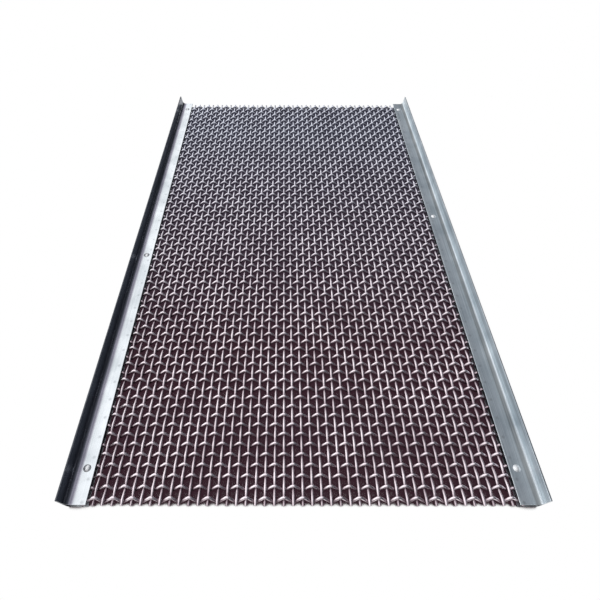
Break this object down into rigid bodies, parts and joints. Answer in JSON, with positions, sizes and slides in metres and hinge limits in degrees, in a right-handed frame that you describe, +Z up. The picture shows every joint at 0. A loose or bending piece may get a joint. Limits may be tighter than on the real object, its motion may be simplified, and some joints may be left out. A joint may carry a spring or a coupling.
{
  "type": "woven wire screen panel",
  "caption": "Rectangular crimped wire screen panel with folded steel hook strips riveted along both long edges, tensioned on a screening machine to sort loose material by size.",
  "frame": {"origin": "on the ground under the middle of the panel, which lies on its backing strips with its hooks up", "axes": "+X across the panel to the right hook strip, +Y along the hook strips to the far end, +Z up out of the screening face"},
  "size_m": [0.803, 1.332, 0.04],
  "materials": {
    "wire": "drawn steel wire, dull with bright crowns",
    "strip": "cold rolled sheet, satin",
    "rivet": "plain steel, satin"
  },
  "bodies": {
    "root": {"wire_mesh": "wire", "hook_strip_left": "strip", "hook_strip_right": "strip", "backing_strip_left": "strip", "backing_strip_right": "strip", "rivets_left": "rivet", "rivets_right": "rivet"}
  },
  "joints": []
}
